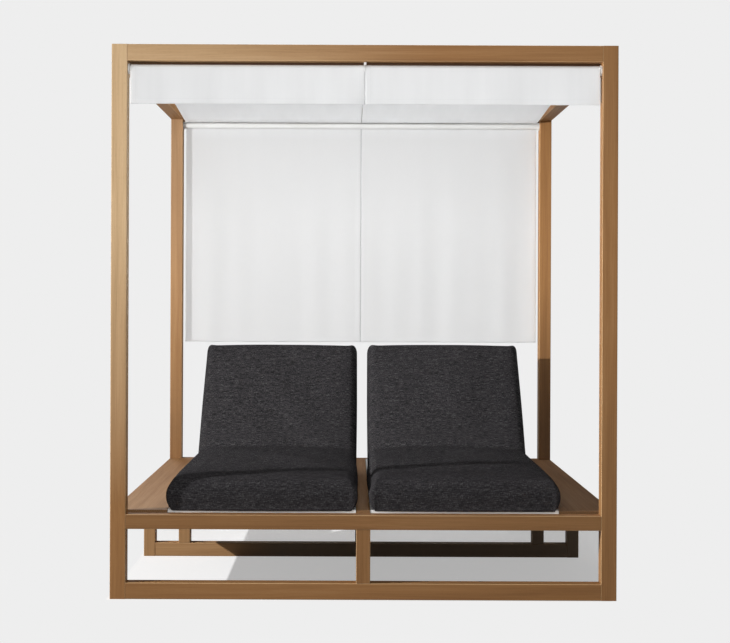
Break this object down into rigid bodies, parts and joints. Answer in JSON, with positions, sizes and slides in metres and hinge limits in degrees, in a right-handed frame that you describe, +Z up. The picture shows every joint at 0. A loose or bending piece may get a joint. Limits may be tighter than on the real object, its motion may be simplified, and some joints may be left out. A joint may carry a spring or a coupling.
{
  "type": "outdoor daybed with canopy",
  "caption": "Square timber daybed frame with a raised deck, two reclining padded loungers side by side, and a fabric canopy with a front valance and a rear curtain.",
  "frame": {"origin": "on the floor, under the middle of the frame", "axes": "+Z up, +X to the right seen from the front, the front faces -Y"},
  "size_m": [2, 2, 2.19],
  "materials": {
    "teak": "oiled timber, satin",
    "teak_deck": "oiled deck boards, satin",
    "white_metal": "white powder coat",
    "steel": "brushed",
    "dark_weave": "charcoal woven outdoor fabric",
    "white_fabric": "white canopy fabric"
  },
  "bodies": {
    "frame": {"front_left_post": "teak", "front_right_post": "teak", "rear_left_post": "teak", "rear_right_post": "teak", "front_top_rail": "teak", "rear_top_rail": "teak", "left_top_rail": "teak", "right_top_rail": "teak", "front_seat_rail": "teak", "rear_seat_rail": "teak", "front_floor_rail": "teak", "rear_floor_rail": "teak", "mid_floor_rail": "teak", "left_side_rail": "teak", "right_side_rail": "teak", "left_inner_beam": "teak", "right_inner_beam": "teak", "centre_beam": "teak", "front_centre_leg": "teak", "rear_centre_leg": "teak", "mid_centre_leg": "teak", "left_outer_mid_leg": "teak", "right_outer_mid_leg": "teak", "left_inner_mid_leg": "teak", "right_inner_mid_leg": "teak", "left_deck_slab": "teak_deck", "right_deck_slab": "teak_deck", "centre_deck_strip": "teak_deck", "rear_deck_board": "teak_deck", "front_canopy_rod": "white_metal", "rear_canopy_rod": "white_metal", "front_left_rod_bracket": "white_metal", "front_right_rod_bracket": "white_metal", "rear_left_rod_bracket": "white_metal", "rear_right_rod_bracket": "white_metal", "front_rod_hanger": "white_metal", "left_lounger_outer_rail": "white_metal", "left_lounger_inner_rail": "white_metal", "left_seat_panel": "white_metal", "left_prop_rack": "white_metal", "right_lounger_outer_rail": "white_metal", "right_lounger_inner_rail": "white_metal", "right_seat_panel": "white_metal", "right_prop_rack": "white_metal", "left_hinge_rod": "steel", "right_hinge_rod": "steel", "left_seat_cushion": "dark_weave", "right_seat_cushion": "dark_weave", "left_valance": "white_fabric", "right_valance": "white_fabric", "left_roof_panel": "white_fabric", "right_roof_panel": "white_fabric", "left_rear_curtain": "white_fabric", "right_rear_curtain": "white_fabric"},
    "left_backrest": {"left_backrest_panel": "white_metal", "left_back_cushion": "dark_weave"},
    "left_prop": {"left_prop_strut": "steel"},
    "right_backrest": {"right_backrest_panel": "white_metal", "right_back_cushion": "dark_weave"},
    "right_prop": {"right_prop_strut": "steel"}
  },
  "joints": [
    {"name": "left_backrest_hinge", "type": "hinge", "parent": "frame", "child": "left_backrest", "pos_m": [-0.4045, 0.25, 0.32], "axis": [1, 0, 0], "range_deg": [-49, 16]},
    {"name": "left_prop_pivot", "type": "hinge", "parent": "left_backrest", "child": "left_prop", "pos_m": [-0.4045, 0.4337, 0.53132], "axis": [1, 0, 0], "range_deg": [-32, 98]},
    {"name": "right_backrest_hinge", "type": "hinge", "parent": "frame", "child": "right_backrest", "pos_m": [0.4045, 0.25, 0.32], "axis": [1, 0, 0], "range_deg": [-49, 16]},
    {"name": "right_prop_pivot", "type": "hinge", "parent": "right_backrest", "child": "right_prop", "pos_m": [0.4045, 0.4337, 0.53132], "axis": [1, 0, 0], "range_deg": [-32, 98]}
  ],
  "couplings": [
    {"joint": "left_prop_pivot", "follows": "left_backrest_hinge", "ratio": -2},
    {"joint": "right_prop_pivot", "follows": "right_backrest_hinge", "ratio": -2}
  ]
}
